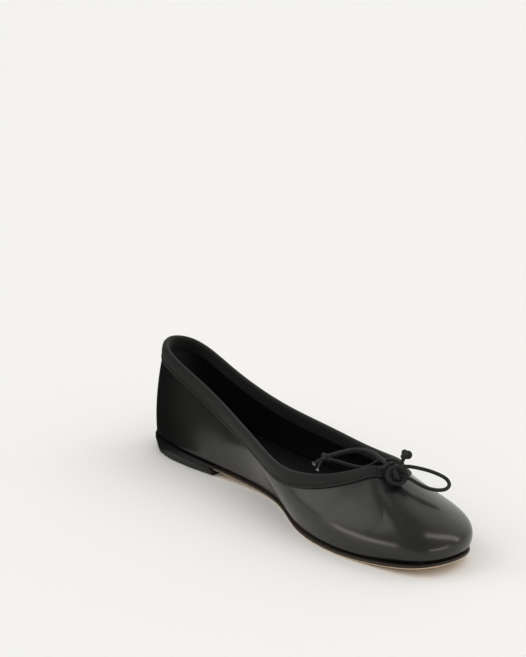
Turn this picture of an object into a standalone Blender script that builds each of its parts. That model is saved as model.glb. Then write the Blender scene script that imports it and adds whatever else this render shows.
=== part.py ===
"""Ballet flat, left shoe: upper, ribbed top binding, leather outsole, low heel, insole and
drawstring bow. Metres. +X runs to the toe, +Y to the shoe's left (outer side), +Z up, floor z = 0."""
import math

import bpy
import numpy as np

LENGTH = 0.250          # outsole, heel end to toe end
BALL_WIDTH = 0.081      # outsole across the ball
BACK_HEIGHT = 0.062     # floor to the top edge at the back
SEAT_HEIGHT = 0.0070    # underside of the outsole above the floor, at the heel
TOE_SPRING = 0.0055     # underside of the outsole above the floor, at the toe end
SOLE_THICK = 0.0023
SOLE_EASE = 0.0007      # the outsole's lower edge, eased
WALL = 0.0016           # upper with its lining
FEATHER_INSET = 0.0010  # upper's lower edge, in from the outsole's outline
GAP = 0.0003            # between pieces that meet
BAND_WIDTH = 0.0080
BAND_THICK = 0.0008
INSOLE_THICK = 0.0020
HEEL_LENGTH = 0.0670
BREAST_BOW = 0.0045     # hollow of the heel's front face
HEEL_DRAW = 0.0012      # its bottom is this much smaller all round
HEEL_BACK_DRAW = 0.0022 # and this much shorter at the back
CORD_DIAMETER = 0.0020
FLAT_FROM, FLAT_TO = 0.520, 0.760   # level tread, shares of the length

# A row per section round the shoe, from the back along the inner side to the toe and home along
# the outer side. foot: the outsole's outline. top: the upper's top edge. flare and rise: the
# direction and strength with which the wall leaves the foot. crown and reach: the slope and
# strength with which it comes to the top edge.
# x and reach: shares of LENGTH. y: shares of BALL_WIDTH. z and rise: shares of BACK_HEIGHT.
SECTIONS = [
    # name, foot_x, foot_y, top_x, top_y, top_z, flare, rise, crown, reach
    ("heel_back",     -0.005, -0.008, -0.001,  0.014, 1.019, 85, 0.32, 76, 0.064),
    ("heel_inner",     0.031, -0.214,  0.040, -0.134, 0.995, 85, 0.32, 76, 0.064),
    ("seat_inner",     0.152, -0.300,  0.177, -0.175, 0.833, 84, 0.29, 81, 0.056),
    ("waist_inner",    0.315, -0.225,  0.344, -0.230, 0.661, 68, 0.23, 83, 0.048),
    ("shank_inner",    0.487, -0.207,  0.483, -0.323, 0.556, 62, 0.23, 79, 0.048),
    ("joint_inner",    0.626, -0.382,  0.596, -0.366, 0.510, 70, 0.25, 62, 0.050),
    ("ball_inner",     0.757, -0.437,  0.690, -0.268, 0.555, 75, 0.27, 40, 0.064),
    ("toe_inner",      0.881, -0.367,  0.741, -0.118, 0.628, 76, 0.29, 27, 0.094),
    ("corner_inner",   0.976, -0.210,  0.766, -0.038, 0.650, 74, 0.30, 22, 0.110),
    ("toe_end",        0.993, -0.006,  0.785,  0.032, 0.644, 69, 0.32, 23, 0.116),
    ("corner_outer",   0.972,  0.182,  0.777,  0.103, 0.626, 63, 0.34, 33, 0.112),
    ("toe_outer",      0.876,  0.356,  0.747,  0.200, 0.603, 69, 0.29, 50, 0.095),
    ("ball_outer",     0.730,  0.526,  0.676,  0.310, 0.535, 76, 0.26, 57, 0.066),
    ("joint_outer",    0.584,  0.557,  0.572,  0.371, 0.490, 80, 0.26, 70, 0.048),
    ("shank_outer",    0.432,  0.466,  0.446,  0.351, 0.531, 84, 0.25, 79, 0.048),
    ("waist_outer",    0.283,  0.397,  0.304,  0.274, 0.631, 87, 0.26, 82, 0.048),
    ("seat_outer",     0.143,  0.356,  0.147,  0.227, 0.803, 88, 0.30, 82, 0.056),
    ("heel_outer",     0.026,  0.218,  0.025,  0.163, 0.974, 86, 0.32, 78, 0.064),
]
STATIONS_A_SECTION = 5
WALL_ROWS = 12

# The bow: points ahead of, beside and above the top edge's front point, in millimetres. They
# don't grow with the shoe.
KNOT = (10.8, -6.8, 1.0)
KNOT_RADII = (5.2, 4.8, 4.2)
CORDS = [
    # name, then rows of ahead, beside, above
    ("bow_loop_front", [(11.0, -4.6, 4.8), (14.2, -1.2, 5.5), (20.4, 5.0, 4.0), (25.4, 9.7, 1.7),
                        (28.6, 11.9, -0.4), (30.8, 11.6, -2.6), (31.4, 8.4, -4.0), (29.2, 3.8, -4.0),
                        (24.4, -0.4, -2.6), (15.4, -2.8, -0.2), (11.0, -5.0, 1.0)]),
    ("bow_loop_rear", [(5.6, -5.6, 3.0), (0.0, -4.2, 4.2), (-6.4, -3.6, 4.6), (-13.0, -2.8, 4.5),
                       (-19.6, -3.0, 4.1), (-24.4, -7.4, 3.7), (-26.6, -13.2, 3.2), (-29.6, -17.2, 1.8),
                       (-32.6, -17.6, -0.4), (-33.6, -14.6, -2.4), (-30.8, -11.2, -3.4), (-25.0, -8.8, -4.0),
                       (-18.8, -5.8, -4.2), (-14.6, -3.0, -2.6), (-11.4, -1.4, 0.2), (-7.6, -0.4, 2.2),
                       (-2.6, -0.6, 2.9), (3.4, -2.8, 2.4), (8.6, -5.6, 1.6)]),
    ("bow_tail_long", [(8.0, -8.2, 4.2), (3.4, -8.2, 5.8), (-2.6, -7.2, 6.9), (-9.0, -5.8, 7.0),
                       (-16.8, -5.8, 6.4), (-22.2, -9.8, 5.6), (-25.2, -16.4, 4.6), (-27.9, -22.4, 3.1)]),
    ("bow_tail_short", [(9.4, -4.6, 3.6), (9.2, -2.4, 6.2), (10.2, -0.9, 11.0)]),
]
END_KNOTS = [
    # name, centre ahead, beside, above, radii along x, y, z
    ("tail_knot_long", (-27.9, -23.2, 3.1), (2.0, 2.0, 2.3)),
    ("tail_knot_short", (10.3, -0.8, 11.3), (3.1, 3.1, 2.1)),
]


def closed_curve(knots, values, at):
    """Smooth closed curve through values at knots; the last knot is the end of the round."""
    v = np.asarray(values, float)
    n = len(v)
    step = np.diff(knots)
    left = np.zeros((n, n))
    right = np.zeros_like(v)
    for i in range(n):
        p, q = step[i - 1], step[i]
        left[i, i - 1] += p
        left[i, i] += 2 * (p + q)
        left[i, (i + 1) % n] += q
        right[i] = 6 * ((v[(i + 1) % n] - v[i]) / q - (v[i] - v[i - 1]) / p)
    bend = np.linalg.solve(left, right)
    t = np.asarray(at) % knots[-1]
    i = np.clip(np.searchsorted(knots, t, side="right") - 1, 0, n - 1)
    j = (i + 1) % n
    h = step[i][:, None]
    b = (t - knots[i])[:, None] / h
    a = 1 - b
    return a * v[i] + b * v[j] + ((a ** 3 - a) * bend[i] + (b ** 3 - b) * bend[j]) * h * h / 6


def section_values(per_section):
    """The table in metres, at evenly shared stations between its rows."""
    scale = np.array([LENGTH, BALL_WIDTH, LENGTH, BALL_WIDTH, BACK_HEIGHT,
                      math.radians(1), BACK_HEIGHT, math.radians(1), LENGTH])
    rows = np.array([row[1:] for row in SECTIONS], float) * scale
    steps = np.linalg.norm(np.roll(rows[:, :2], -1, 0) - rows[:, :2], axis=1)
    knots = np.concatenate([[0], np.cumsum(steps)])
    count = len(rows) * per_section
    at = np.interp(np.arange(count) / per_section, np.arange(len(knots)), knots)
    return closed_curve(knots, rows, at)


def outward(loop):
    """Level outward directions of a closed loop that runs back, inner side, toe, outer side."""
    d = np.roll(loop, -1, 0) - np.roll(loop, 1, 0)
    d = d / np.linalg.norm(d, axis=1)[:, None]
    return np.stack([d[:, 1], -d[:, 0]], 1)


def sole_under(x):
    """Height of the outsole's underside: heel seat, arch, level tread, toe spring."""
    x = np.asarray(x, float) / LENGTH
    back = np.clip((FLAT_FROM - x) / (FLAT_FROM - 0.08), 0, 1)
    front = np.clip((x - FLAT_TO) / (1 - FLAT_TO), 0, 1.1)
    return SEAT_HEIGHT * back ** 2 * (3 - 2 * back) + TOE_SPRING * front ** 2


def sole_top(x):
    return sole_under(x) + SOLE_THICK


def wall_grid(per_section, rows):
    """Outer face of the upper and its outward directions. Row 0 is the top edge, rows 1 and 2
    are the band's middle and lower edge, the last row is the foot."""
    v = section_values(per_section)
    foot, top = v[:, :2], v[:, 2:4]
    away_foot, away_top = outward(foot), outward(top)
    start = foot - away_foot * FEATHER_INSET
    start = np.column_stack([start, sole_top(start[:, 0]) + GAP])
    end = np.column_stack([top, v[:, 4]])
    flare, rise, crown, reach = v[:, 5:6], v[:, 6:7], v[:, 7:8], v[:, 8:9]
    from_foot = start + rise * np.hstack([away_foot * np.cos(flare), np.sin(flare)])
    to_top = end + reach * np.hstack([away_top * np.cos(crown), -np.sin(crown)])
    t = np.linspace(0, 1, 41)[None, :, None]
    a, b, c, d = end[:, None], to_top[:, None], from_foot[:, None], start[:, None]
    fine = (1 - t) ** 3 * a + 3 * (1 - t) ** 2 * t * b + 3 * (1 - t) * t * t * c + t ** 3 * d
    grid = np.empty((len(v), rows, 3))
    for k, rib in enumerate(fine):
        run = np.concatenate([[0], np.cumsum(np.linalg.norm(np.diff(rib, axis=0), axis=1))])
        down = np.concatenate([[0, BAND_WIDTH / 2], np.linspace(BAND_WIDTH, run[-1], rows - 2)])
        for axis in range(3):
            grid[k, :, axis] = np.interp(down, run, rib[:, axis])
    along = np.roll(grid, -1, 0) - np.roll(grid, 1, 0)
    down = np.gradient(grid, axis=1)
    face = np.cross(down, along)
    # At the foot the wall's thickness lies level, so that it stands flat on the outsole.
    level = np.zeros_like(face)
    level[:, :, :2] = away_foot[:, None]
    face = face / np.linalg.norm(face, axis=2)[:, :, None]
    share = np.clip((np.arange(rows) - (rows - 4)) / 3, 0, 1)[None, :, None]
    face = face * (1 - share) + level * share
    return grid, face / np.linalg.norm(face, axis=2)[:, :, None]


def new_object(name, verts, faces):
    mesh = bpy.data.meshes.new(name)
    mesh.from_pydata([tuple(v) for v in verts], [], faces)
    mesh.validate()
    volume = 0.0
    for polygon in mesh.polygons:
        p = [mesh.vertices[i].co for i in polygon.vertices]
        for k in range(1, len(p) - 1):
            volume += p[0].dot(p[k].cross(p[k + 1]))
    if volume < 0:
        mesh.flip_normals()
    mesh.update()
    obj = bpy.data.objects.new(name, mesh)
    PARTS.objects.link(obj)
    return obj


def ring_solid(name, sections):
    """Solid whose closed sections stand round a closed loop."""
    n, k = sections.shape[:2]
    faces = []
    for i in range(n):
        j = (i + 1) % n
        for a in range(k):
            b = (a + 1) % k
            faces.append((i * k + a, i * k + b, j * k + b, j * k + a))
    return new_object(name, sections.reshape(-1, 3), faces)


def row_solid(name, sections):
    """Solid whose closed sections follow one another in a row, closed at both ends."""
    n, k = sections.shape[:2]
    faces = [tuple(range(k)), tuple(range((n - 1) * k, n * k))[::-1]]
    for i in range(n - 1):
        for a in range(k):
            b = (a + 1) % k
            faces.append((i * k + b, i * k + a, (i + 1) * k + a, (i + 1) * k + b))
    return new_object(name, sections.reshape(-1, 3), faces)


def outline_at(inset, stations, x_end=None):
    """Stations along the foot's outline, set in: x, y of the inner side, y of the outer side."""
    foot = section_values(40)[:, :2]
    loop = foot - outward(foot) * inset
    low, high = int(loop[:, 0].argmin()), int(loop[:, 0].argmax())
    loop = np.roll(loop, -low, 0)
    turn = (high - low) % len(loop)
    inner, outer = loop[:turn + 1], np.vstack([loop[turn:], loop[:1]])[::-1]
    first, last = loop[:, 0].min() + 0.00005, loop[:, 0].max() - 0.00005
    t = np.linspace(0, 1, stations)
    if x_end is None:
        x = first + (last - first) * (1 - np.cos(math.pi * t)) / 2
    else:
        x = first + (x_end - first) * (1 - np.cos(math.pi * t / 2))
    return x, np.interp(x, inner[:, 0], inner[:, 1]), np.interp(x, outer[:, 0], outer[:, 1])


def plate(name, inset, stations, under, over, edge):
    """Plate between two height functions of x, with its lower edge eased by edge."""
    x, inner, outer = outline_at(inset, stations)
    ease = np.minimum(edge, (outer - inner) / 2.5)
    low, high = under(x), over(x)
    section = [(inner + ease, low), (inner, low + edge), (inner, high),
               (outer, high), (outer, low + edge), (outer - ease, low)]
    return row_solid(name, np.stack([np.column_stack([x, y, z]) for y, z in section], 1))


def heel_block():
    """Low block under the seat; its front face is hollow."""
    x, inner, outer = outline_at(0.0004, 20, HEEL_LENGTH)
    across = np.linspace(0, 1, 9)
    bow = BREAST_BOW * np.linspace(0, 1, 20) ** 6
    sections = []
    for k in range(len(x)):
        y = inner[k] + (outer[k] - inner[k]) * across
        back = x[k] - bow[k] * (1 - (2 * across - 1) ** 2)
        over = np.column_stack([back, y, sole_under(back) - GAP])
        draw = min(HEEL_DRAW, (outer[k] - inner[k]) / 10)
        under = back + HEEL_BACK_DRAW * (1 - back / HEEL_LENGTH).clip(0, 1) ** 3
        below = np.column_stack([under, y + draw * (1 - 2 * across), np.zeros(9)])
        side_a = [(back[0], y[0], 0.0015)]
        side_b = [(back[-1], y[-1], 0.0015)]
        sections.append(np.vstack([over, side_b, below[::-1], side_a]))
    return row_solid("heel", np.array(sections))


def smooth_path(points, step):
    """Evenly stepped smooth line through points."""
    p = np.asarray(points, float)
    p = np.vstack([2 * p[0] - p[1], p, 2 * p[-1] - p[-2]])
    fine = []
    for k in range(1, len(p) - 2):
        for t in np.linspace(0, 1, 24, endpoint=False):
            fine.append(0.5 * (2 * p[k] + (p[k + 1] - p[k - 1]) * t
                               + (2 * p[k - 1] - 5 * p[k] + 4 * p[k + 1] - p[k + 2]) * t * t
                               + (3 * p[k] - p[k - 1] - 3 * p[k + 1] + p[k + 2]) * t ** 3))
    fine = np.array(fine + [p[-2]])
    run = np.concatenate([[0], np.cumsum(np.linalg.norm(np.diff(fine, axis=0), axis=1))])
    at = np.linspace(0, run[-1], max(3, int(round(run[-1] / step)) + 1))
    return np.stack([np.interp(at, run, fine[:, axis]) for axis in range(3)], 1)


def outside(points, centre, radii):
    """Cut away the ends of a line whose cord would come nearer than GAP to a ball."""
    along = np.gradient(points, axis=0)
    side = np.cross(along, (0, 0, 1))
    side /= np.linalg.norm(side, axis=1)[:, None]
    up = np.cross(side, along)
    up /= np.linalg.norm(up, axis=1)[:, None]
    away = np.linalg.norm((points - centre) / (radii + GAP), axis=1) > 1
    for turn in np.linspace(0, 2 * math.pi, 12, endpoint=False):
        rim = points + CORD_DIAMETER / 2 * (side * math.cos(turn) + up * math.sin(turn))
        away &= np.linalg.norm((rim - centre) / (radii + GAP), axis=1) > 1
    keep = np.where(away)[0]
    return points[keep[0]:keep[-1] + 1]


def cord(name, points):
    curve = bpy.data.curves.new(name, "CURVE")
    curve.dimensions = "3D"
    curve.bevel_depth = CORD_DIAMETER / 2
    curve.bevel_resolution = 2
    curve.use_fill_caps = True
    spline = curve.splines.new("POLY")
    spline.points.add(len(points) - 1)
    for k, p in enumerate(points):
        spline.points[k].co = (p[0], p[1], p[2], 1.0)
    obj = bpy.data.objects.new(name, curve)
    PARTS.objects.link(obj)
    return obj


def ball(name, centre, radii):
    verts = [(0, 0, 1)]
    for i in range(1, 7):
        a = math.pi * i / 7
        for k in range(12):
            b = 2 * math.pi * k / 12
            verts.append((math.sin(a) * math.cos(b), math.sin(a) * math.sin(b), math.cos(a)))
    verts.append((0, 0, -1))
    faces = [(0, 1 + k, 1 + (k + 1) % 12) for k in range(12)]
    for i in range(5):
        for k in range(12):
            j = (k + 1) % 12
            faces.append((1 + i * 12 + k, 13 + i * 12 + k, 13 + i * 12 + j, 1 + i * 12 + j))
    faces += [(61 + (k + 1) % 12, 61 + k, 73) for k in range(12)]
    return new_object(name, np.array(verts) * radii + centre, faces)


def colour(obj, name, rgb, roughness):
    material = bpy.data.materials.new(name)
    material.use_nodes = True
    shader = material.node_tree.nodes["Principled BSDF"]
    shader.inputs["Base Color"].default_value = (*rgb, 1)
    shader.inputs["Roughness"].default_value = roughness
    obj.data.materials.append(material)


for old in list(bpy.data.objects):
    bpy.data.objects.remove(old, do_unlink=True)
PARTS = bpy.data.collections.new("parts")
bpy.context.scene.collection.children.link(PARTS)

# Upper: outer face from the top edge down, then the inner face back up.
outer_face, face_away = wall_grid(STATIONS_A_SECTION, WALL_ROWS)
inner_face = outer_face - face_away * WALL
inner_face[:, -1, 2] = sole_top(inner_face[:, -1, 0]) + GAP
upper = ring_solid("upper", np.concatenate([outer_face, inner_face[:, ::-1]], 1))
colour(upper, "upper leather", (0.012, 0.012, 0.013), 0.42)

# Binding: one folded ribbon over the top edge, clear of the wall by GAP on both faces.
rise_dir = outer_face[:, 0] - outer_face[:, 1]
rise_dir /= np.linalg.norm(rise_dir, axis=1)[:, None]
BINDING_PATH = [
    # row, outward from the outer face, up past the top edge
    (2, GAP, 0), (1, GAP, 0), (0, GAP, GAP), (0, -WALL - GAP, GAP), (1, -WALL - GAP, 0), (2, -WALL - GAP, 0),
    (2, -WALL - GAP - BAND_THICK, 0), (1, -WALL - GAP - BAND_THICK, 0),
    (0, -WALL - GAP - BAND_THICK, GAP), (0, -WALL - GAP * 0.5, GAP + BAND_THICK * 0.8),
    (0, -GAP, GAP + BAND_THICK), (0, GAP + BAND_THICK, GAP),
    (1, GAP + BAND_THICK, 0), (2, GAP + BAND_THICK, 0),
]
ribbon = [outer_face[:, int(row)] + face_away[:, int(row)] * out + rise_dir * up
          for row, out, up in BINDING_PATH]
binding = ring_solid("topline_binding", np.stack(ribbon, 1))
colour(binding, "binding ribbon", (0.014, 0.014, 0.015), 0.85)

outsole = plate("outsole", 0.0, 58, sole_under, sole_top, SOLE_EASE)
colour(outsole, "sole leather", (0.72, 0.52, 0.33), 0.6)

heel = heel_block()
colour(heel, "heel block", (0.02, 0.02, 0.02), 0.6)

insole = plate("insole", FEATHER_INSET + WALL + GAP * 1.2, 44, lambda x: sole_top(x) + GAP,
               lambda x: sole_top(x) + GAP + INSOLE_THICK, 0.0003)
colour(insole, "insole leather", (0.015, 0.014, 0.014), 0.6)

# Bow, from the front point of the top edge.
front = outer_face[9 * STATIONS_A_SECTION, 0]
knot_centre = front + np.array(KNOT) / 1000
knot_radii = np.array(KNOT_RADII) / 1000
knot = ball("bow_knot", knot_centre, knot_radii)
colour(knot, "bow knot cord", (0.015, 0.015, 0.016), 0.7)
for name, rows in CORDS:
    line = smooth_path(front + np.array(rows) / 1000, CORD_DIAMETER / 16)
    line = outside(line, knot_centre, knot_radii)
    for other, centre, radii in END_KNOTS:
        line = outside(line, front + np.array(centre) / 1000, np.array(radii) / 1000)
    count = max(3, int(len(line) / 32) + 1)
    line = line[np.linspace(0, len(line) - 1, count).round().astype(int)]
    colour(cord(name, line), name + " cord", (0.015, 0.015, 0.016), 0.7)
for name, centre, radii in END_KNOTS:
    end = ball(name, front + np.array(centre) / 1000, np.array(radii) / 1000)
    colour(end, name + " cord", (0.015, 0.015, 0.016), 0.7)

# The frame's origin is under the middle of the shoe's box, the bow left out.
shape = np.array([v.co for obj in (upper, binding, outsole, heel, insole) for v in obj.data.vertices])
middle = (shape.min(0) + shape.max(0)) / 2
frame = bpy.data.objects.new("frame", None)
bpy.context.scene.collection.objects.link(frame)
frame.location = (-middle[0], -middle[1], 0)
for obj in PARTS.objects:
    obj.parent = frame
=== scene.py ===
"""Looks of the ballet flat, left shoe: lasted leather upper, matt ribbon binding, natural leather
outsole with dark edges, low heel, insole and drawstring bow, on a pale studio floor. Metres."""
import math

import bpy
import numpy as np
from mathutils import Matrix, Vector


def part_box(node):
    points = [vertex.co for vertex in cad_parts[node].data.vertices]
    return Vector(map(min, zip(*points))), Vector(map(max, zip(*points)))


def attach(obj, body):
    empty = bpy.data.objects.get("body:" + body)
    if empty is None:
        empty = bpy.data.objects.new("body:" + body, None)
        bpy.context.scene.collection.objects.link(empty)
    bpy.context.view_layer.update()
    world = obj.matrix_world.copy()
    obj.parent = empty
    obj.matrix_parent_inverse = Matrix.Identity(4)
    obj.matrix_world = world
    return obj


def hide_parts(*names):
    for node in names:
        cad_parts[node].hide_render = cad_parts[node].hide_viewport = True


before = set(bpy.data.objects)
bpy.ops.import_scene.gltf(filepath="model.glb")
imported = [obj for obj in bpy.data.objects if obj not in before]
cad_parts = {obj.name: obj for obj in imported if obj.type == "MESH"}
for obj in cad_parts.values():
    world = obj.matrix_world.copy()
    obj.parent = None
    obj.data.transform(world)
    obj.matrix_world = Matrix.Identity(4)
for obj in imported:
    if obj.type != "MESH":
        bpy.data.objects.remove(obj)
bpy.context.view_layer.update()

# The shoe's own sizes: +X runs to the toe, +Y to the outer side, +Z up, floor z = 0.
LENGTH = 0.250
BALL_WIDTH = 0.081
BACK_HEIGHT = 0.062
SEAT_HEIGHT = 0.0070
TOE_SPRING = 0.0055
SOLE_THICK = 0.0023
WALL = 0.0016
FEATHER_INSET = 0.0010
GAP = 0.0003
INSOLE_THICK = 0.0020
HEEL_LENGTH = 0.0670
BREAST_BOW = 0.0045
HEEL_DRAW = 0.0012
HEEL_BACK_DRAW = 0.0022
CORD_DIAMETER = 0.0020
FLAT_FROM, FLAT_TO = 0.520, 0.760

# The same rows as in the construction, fitted to the shoe's outlines in the photograph: x and reach
# are shares of LENGTH, y of BALL_WIDTH, z and rise of BACK_HEIGHT.
SECTIONS = [
    # name, foot_x, foot_y, top_x, top_y, top_z, flare, rise, crown, reach
    ("heel_back",     -0.005, -0.008, -0.001,  0.014, 1.019, 85, 0.32, 76, 0.064),
    ("heel_inner",     0.031, -0.214,  0.040, -0.134, 0.995, 85, 0.32, 76, 0.064),
    ("seat_inner",     0.152, -0.300,  0.177, -0.175, 0.833, 84, 0.29, 81, 0.056),
    ("waist_inner",    0.315, -0.225,  0.344, -0.230, 0.661, 68, 0.23, 83, 0.048),
    ("shank_inner",    0.487, -0.207,  0.483, -0.323, 0.556, 62, 0.23, 79, 0.048),
    ("joint_inner",    0.626, -0.382,  0.596, -0.366, 0.510, 70, 0.25, 62, 0.050),
    ("ball_inner",     0.757, -0.437,  0.690, -0.268, 0.555, 75, 0.27, 40, 0.064),
    ("toe_inner",      0.881, -0.367,  0.741, -0.118, 0.628, 76, 0.29, 27, 0.094),
    ("corner_inner",   0.976, -0.210,  0.766, -0.038, 0.650, 74, 0.30, 22, 0.110),
    ("toe_end",        0.993, -0.006,  0.785,  0.032, 0.644, 69, 0.32, 23, 0.116),
    ("corner_outer",   0.972,  0.182,  0.777,  0.103, 0.626, 63, 0.34, 33, 0.112),
    ("toe_outer",      0.876,  0.356,  0.747,  0.200, 0.603, 69, 0.29, 50, 0.095),
    ("ball_outer",     0.730,  0.526,  0.676,  0.310, 0.535, 76, 0.26, 57, 0.066),
    ("joint_outer",    0.584,  0.557,  0.572,  0.371, 0.490, 80, 0.26, 70, 0.048),
    ("shank_outer",    0.432,  0.466,  0.446,  0.351, 0.531, 84, 0.25, 79, 0.048),
    ("waist_outer",    0.283,  0.397,  0.304,  0.274, 0.631, 87, 0.26, 82, 0.048),
    ("seat_outer",     0.143,  0.356,  0.147,  0.227, 0.803, 88, 0.30, 82, 0.056),
    ("heel_outer",     0.026,  0.218,  0.025,  0.163, 0.974, 86, 0.32, 78, 0.064),
]
THROAT_SECTION = 9      # toe_end: its top point is the front of the opening
STATIONS = 20           # a section
BOX_STATIONS = 60       # a section, where only the outline's box is wanted
WALL_ROWS = 56
ROW_POWER = 0.9         # the rows lie a little closer towards the foot
RIB_STEPS = 160

# The camera, in the shoe's own sizes and in degrees.
CAMERA_PLACE = (0.877869, -0.622407, 0.404072)
CAMERA_YAW, CAMERA_PITCH, CAMERA_ROLL = 51.720, 17.323, 0.171
CAMERA_LENS = 103.184   # for a 36 mm sensor

# The studio. Directions are yaw from -Y towards +X and height, in degrees. The sky is a plain dome
# with two soft bright regions; strips are long lamps.
FLOOR_COLOUR = (0.888, 0.884, 0.868)
FLOOR_HALF = 6.0
SKY_COLOUR = (1.0, 0.985, 0.955)
SKY_PLAIN = 0.40
SKY_REGIONS = [
    # direction, cosines between which it rises, brightness added
    ((-46, 34), 0.84, 0.95, 1.35),
    ((-165, 36), 0.62, 0.94, 0.75),
]
SUN_TOWARDS, SUN_STRENGTH, SUN_WIDTH = (0.36, 0.05, 0.92), 1.06, 120
STRIP_DISTANCE = 1.5
STRIPS = [
    # name, first end, second end, width in metres, brightness
    ("front_strip", (-28, 6), (3, 5), 0.26, 4.2),
    ("side_strip", (70, 66), (134, 9), 0.25, 3.9),
    ("low_strip", (68, 10), (110, 6), 0.17, 4.2),
]
STRIP_COLOUR = (1.0, 0.93, 0.86)
# Painted shade: a dark card that only reflections see, which darkens the reflections on the heel's side.
CARD = [(-62, 34), (7, -79), (42, -38), (-8, -6)]     # the dark card beside the heel, in mm
CARD_LOW, CARD_HIGH = 0.0008, 0.200

# Soft folds of the leather: points x, y of the line that each follows, half width and depth.
FOLDS = [
    # name, points in mm, half width mm, depth mm
    ("valley of the toe",
     [(208, -12.5), (213, -17), (219, -21), (227, -22.5), (234, -22), (243, -21)], 8.2, 1.5),
    ("pull under the knot", [(203.5, -8.5), (206.5, -10.5), (211.5, -14), (216, -17)], 3.0, 0.42),
    ("inner vamp pull", [(196, -17), (190, -27), (186, -34)], 4.0, 0.30),
    ("inner joint", [(176, -37), (164, -36), (152, -31)], 6.0, 0.35),
    ("outer vamp pull", [(192, 21), (196, 32), (194, 40)], 5.0, 0.45),
    ("outer joint", [(176, 33), (168, 40), (160, 43)], 5.0, 0.4),
    ("swell of the vamp", [(203, 4), (214, 4), (226, 3), (236, 2)], 9.0, -0.6),
]
FOLD_START, FOLD_SPAN = 0.12, 0.8   # part of a half wave that a fold's depth follows along it

OUTER_LEATHER = 0.0010          # the lining has the rest of WALL
LINING_CLEAR = 0.00002
LINING_ROWS = 16
FOLD_BACK = 0.0003              # the most that a fold moves the leather's back face
FOLDS_FROM, FOLDS_FULL = 0.006, 0.012   # down from the top edge; above it the leather is smooth
TUCK, TUCK_REACH = 0.0009, 0.0011       # the lower edge, drawn in under the last
TUCK_LEVEL = 0.006              # up from the foot, where the tuck's direction turns level
INK_FADE = 0.015                # ahead of the heel, from black ink to brown
BAND_PUFF, PUFF_SHORT, PUFF_LONG = 0.06, 0.0065, 0.017  # the ribbon's uneven swell along the edge
PUFF_FROM = 0.0005              # out from the wall; what lies closer doesn't swell
EDGE_STEPS = 8                  # of a rib, which give the direction up over the top edge
STITCH_PITCH, STITCH_LONG, STITCH_THICK = 0.0026, 0.0020, 0.00028
STITCH_DOWN, STITCH_OUT = 0.0063, 0.00056       # from the top edge, and out from the wall
STITCH_FLAT = 0.8               # its height as a share of its width
CLOSING_SHARES = (0.25, 0.5, 0.75, 0.97)        # of the way from a slab's edge to its middle line
HEEL_STEPS, HEEL_ACROSS = 60, 25
HEEL_INSET, HEEL_START = 0.0001, 0.00002        # in from the outsole's outline, all round and at the back


def closed_curve(knots, values, at):
    """Smooth closed curve through values at knots; the last knot is the end of the round."""
    v = np.asarray(values, float)
    n = len(v)
    step = np.diff(knots)
    left = np.zeros((n, n))
    right = np.zeros_like(v)
    for i in range(n):
        p, q = step[i - 1], step[i]
        left[i, i - 1] += p
        left[i, i] += 2 * (p + q)
        left[i, (i + 1) % n] += q
        right[i] = 6 * ((v[(i + 1) % n] - v[i]) / q - (v[i] - v[i - 1]) / p)
    bend = np.linalg.solve(left, right)
    t = np.asarray(at) % knots[-1]
    i = np.clip(np.searchsorted(knots, t, side="right") - 1, 0, n - 1)
    j = (i + 1) % n
    h = step[i][:, None]
    b = (t - knots[i])[:, None] / h
    a = 1 - b
    return a * v[i] + b * v[j] + ((a ** 3 - a) * bend[i] + (b ** 3 - b) * bend[j]) * h * h / 6


def section_values(per_section):
    """The table in metres, at evenly shared stations between its rows."""
    scale = np.array([LENGTH, BALL_WIDTH, LENGTH, BALL_WIDTH, BACK_HEIGHT,
                      math.radians(1), BACK_HEIGHT, math.radians(1), LENGTH])
    rows = np.array([row[1:] for row in SECTIONS], float) * scale
    steps = np.linalg.norm(np.roll(rows[:, :2], -1, 0) - rows[:, :2], axis=1)
    knots = np.concatenate([[0], np.cumsum(steps)])
    count = len(rows) * per_section
    at = np.interp(np.arange(count) / per_section, np.arange(len(knots)), knots)
    return closed_curve(knots, rows, at)


def outward(loop):
    """Level outward directions of a closed loop that runs back, inner side, toe, outer side."""
    d = np.roll(loop, -1, 0) - np.roll(loop, 1, 0)
    d = d / np.linalg.norm(d, axis=1)[:, None]
    return np.stack([d[:, 1], -d[:, 0]], 1)


def sole_under(x):
    """Height of the outsole's underside: heel seat, arch, level tread, toe spring."""
    x = np.asarray(x, float) / LENGTH
    back = np.clip((FLAT_FROM - x) / (FLAT_FROM - 0.08), 0, 1)
    front = np.clip((x - FLAT_TO) / (1 - FLAT_TO), 0, 1.1)
    return SEAT_HEIGHT * back ** 2 * (3 - 2 * back) + TOE_SPRING * front ** 2


def sole_top(x):
    return sole_under(x) + SOLE_THICK


def unit(v):
    return v / np.linalg.norm(v, axis=-1, keepdims=True)


def smoothstep(low, high, x):
    t = np.clip((x - low) / (high - low), 0, 1)
    return t * t * (3 - 2 * t)


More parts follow.
